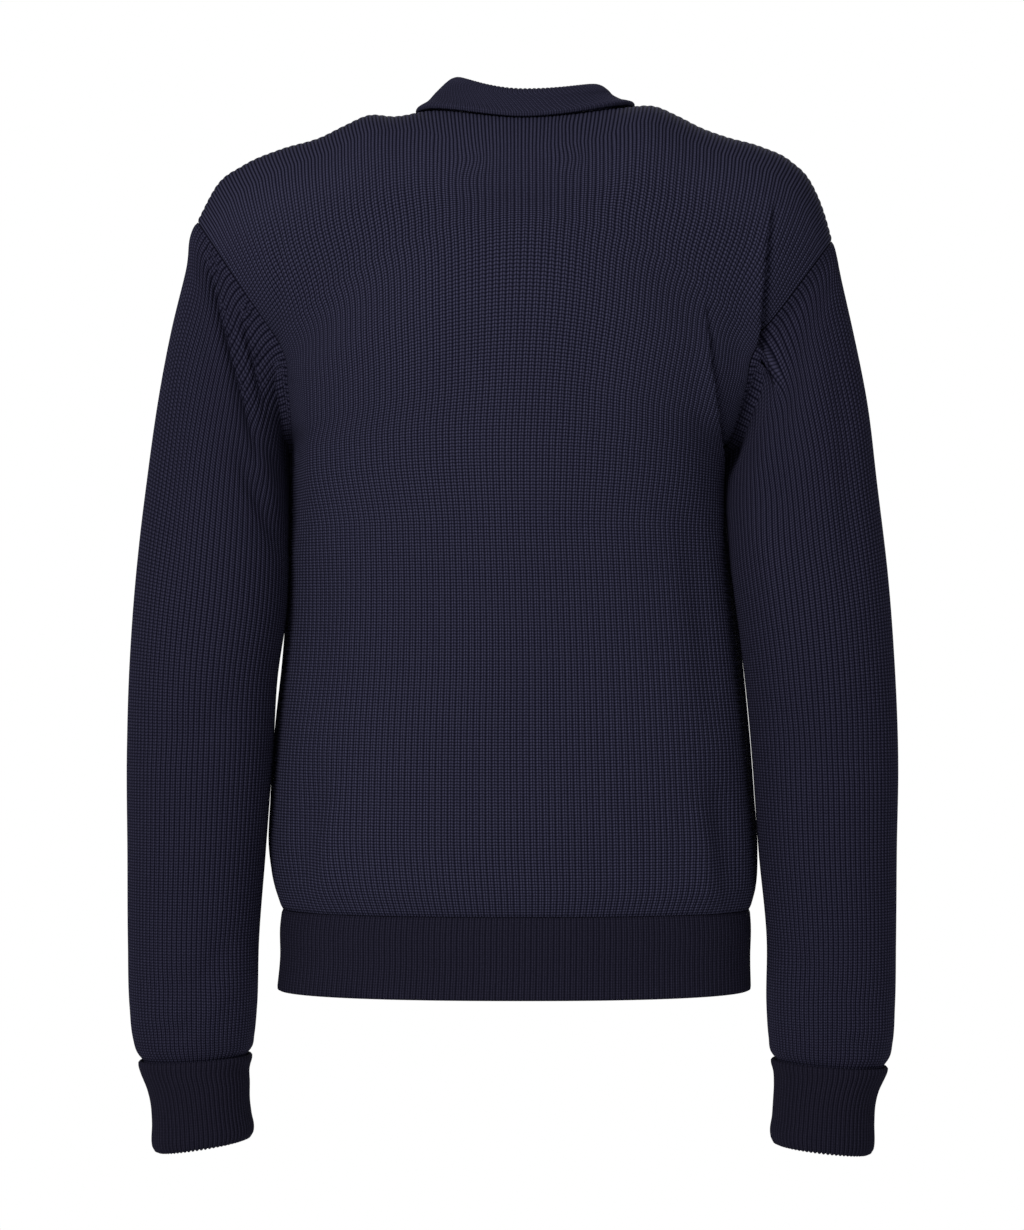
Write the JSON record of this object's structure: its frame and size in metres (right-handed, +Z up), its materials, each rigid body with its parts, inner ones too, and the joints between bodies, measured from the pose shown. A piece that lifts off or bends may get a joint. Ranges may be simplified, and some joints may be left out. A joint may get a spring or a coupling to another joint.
{
  "type": "high neck sweater",
  "caption": "Long-sleeved ribbed wool sweater in its filled-out hollow form, with a turned-down high neck, a fitted hem band and turned-back cuffs.",
  "frame": {"origin": "middle of the neck base, where the garment rests round the wearer's neck and shoulders", "axes": "+X to the wearer's left, -Y to the garment's front, +Z up"},
  "size_m": [0.5631, 0.241, 0.7926],
  "materials": {
    "body_knit": "matt navy wool, thick rib",
    "sleeve_knit": "matt navy wool, thick rib",
    "trim_knit": "matt navy wool, fine rib"
  },
  "bodies": {
    "root": {"back_panel": "body_knit", "front_panel": "body_knit", "sleeve_left": "sleeve_knit", "sleeve_right": "sleeve_knit", "hem_band": "trim_knit", "cuff_left": "trim_knit", "cuff_right": "trim_knit", "collar": "trim_knit"}
  },
  "joints": []
}
